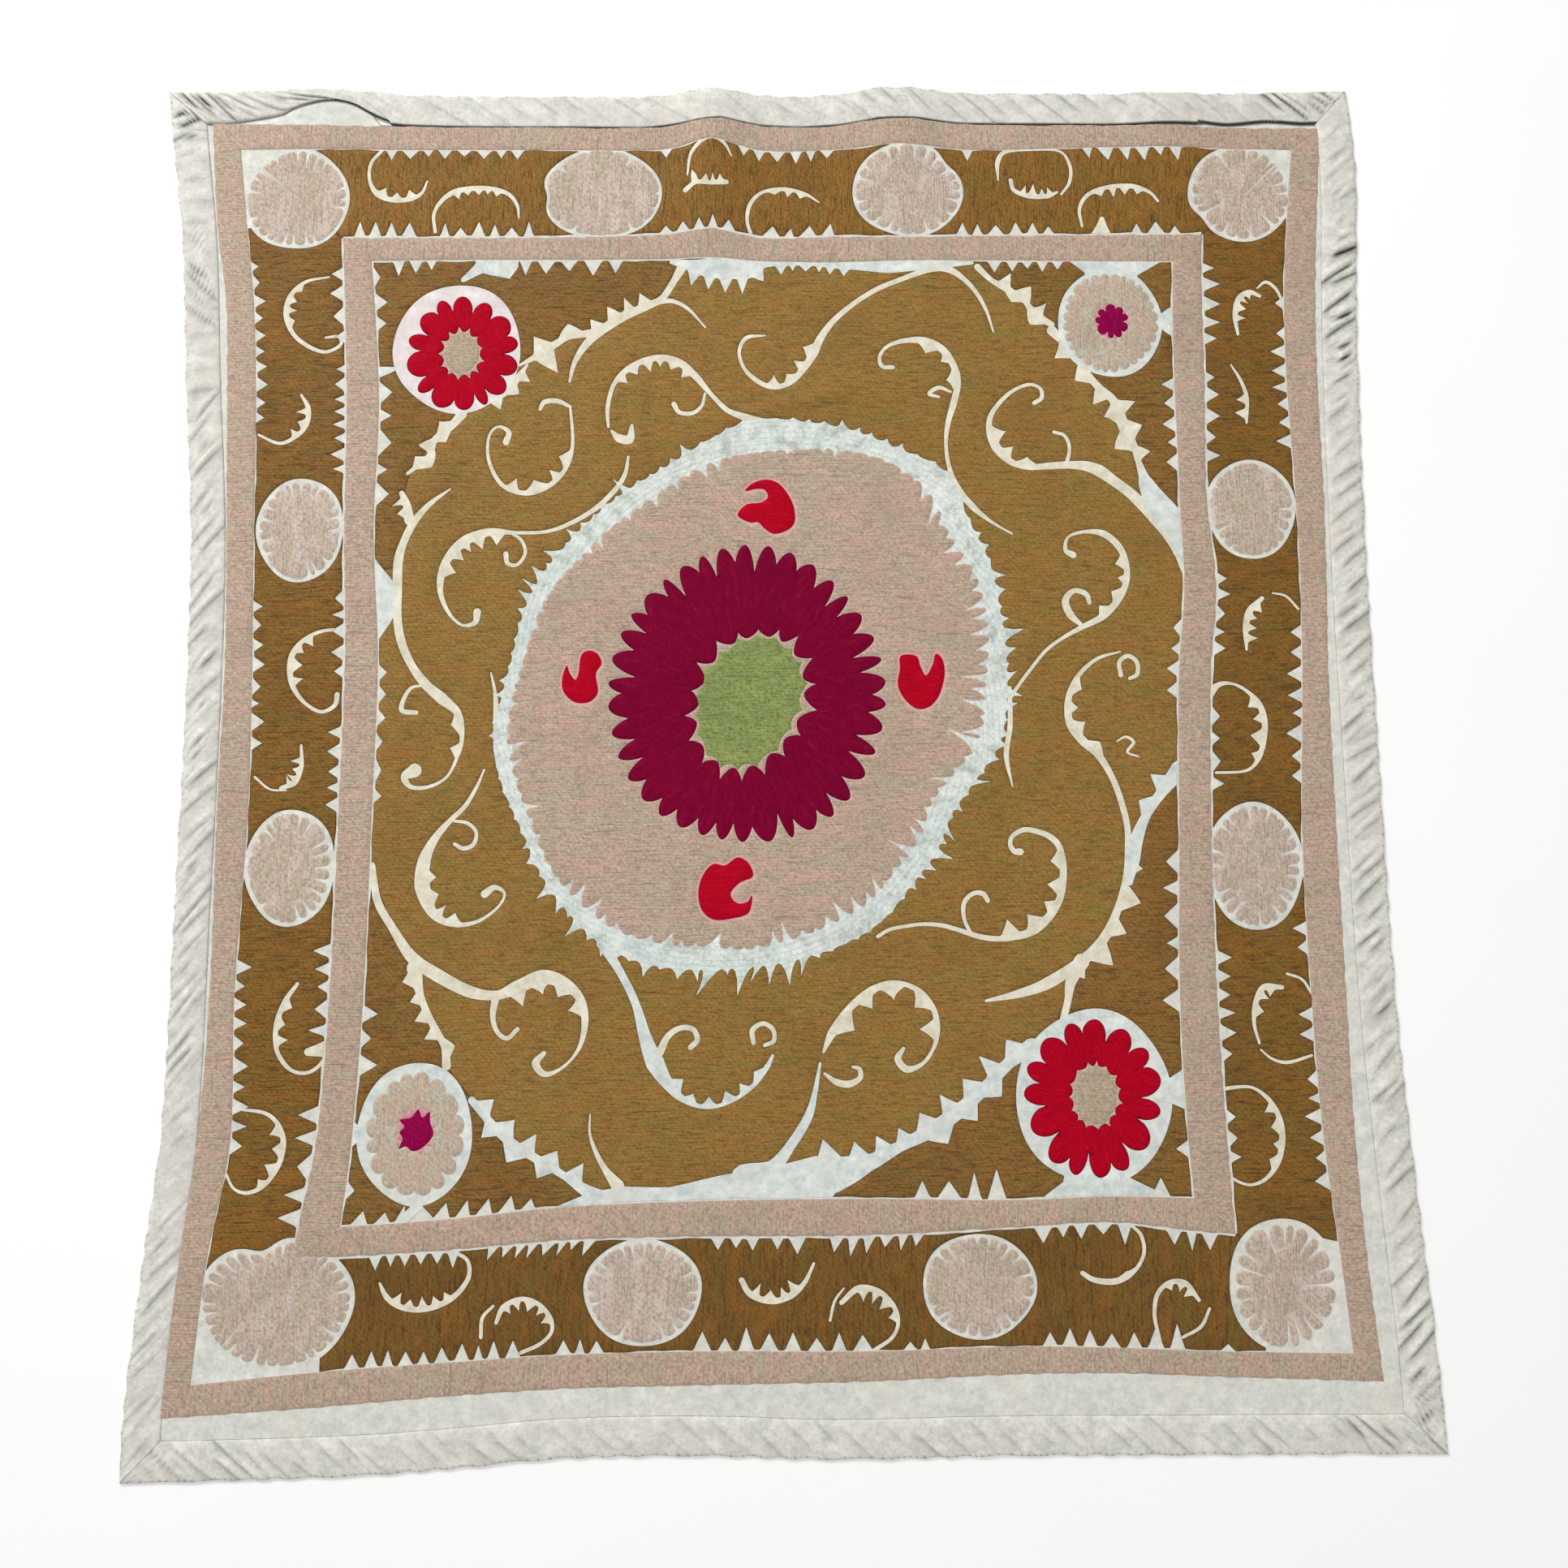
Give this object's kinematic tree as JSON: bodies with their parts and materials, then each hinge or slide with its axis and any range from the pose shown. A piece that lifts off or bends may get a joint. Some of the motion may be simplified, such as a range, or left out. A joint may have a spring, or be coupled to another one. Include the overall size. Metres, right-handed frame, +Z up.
{
  "type": "embroidered tablecloth",
  "caption": "Square-cut cotton tablecloth, laid out flat, covered in couched embroidery, with a gathered strip sewn round its edge.",
  "frame": {"origin": "middle of the cloth's plan, on the surface it lies on", "axes": "+X across the cloth, +Y along it towards its top edge, +Z up from the surface"},
  "size_m": [1.162, 1.2782, 0.0108],
  "materials": {
    "cotton_ground": "matt plain-woven cotton, off-white",
    "strip_cotton": "matt gathered cotton, grey-white"
  },
  "bodies": {
    "root": {"ground_panel": "cotton_ground", "edge_strip_left": "strip_cotton", "edge_strip_right": "strip_cotton", "edge_strip_top": "strip_cotton", "edge_strip_bottom": "strip_cotton"}
  },
  "joints": []
}
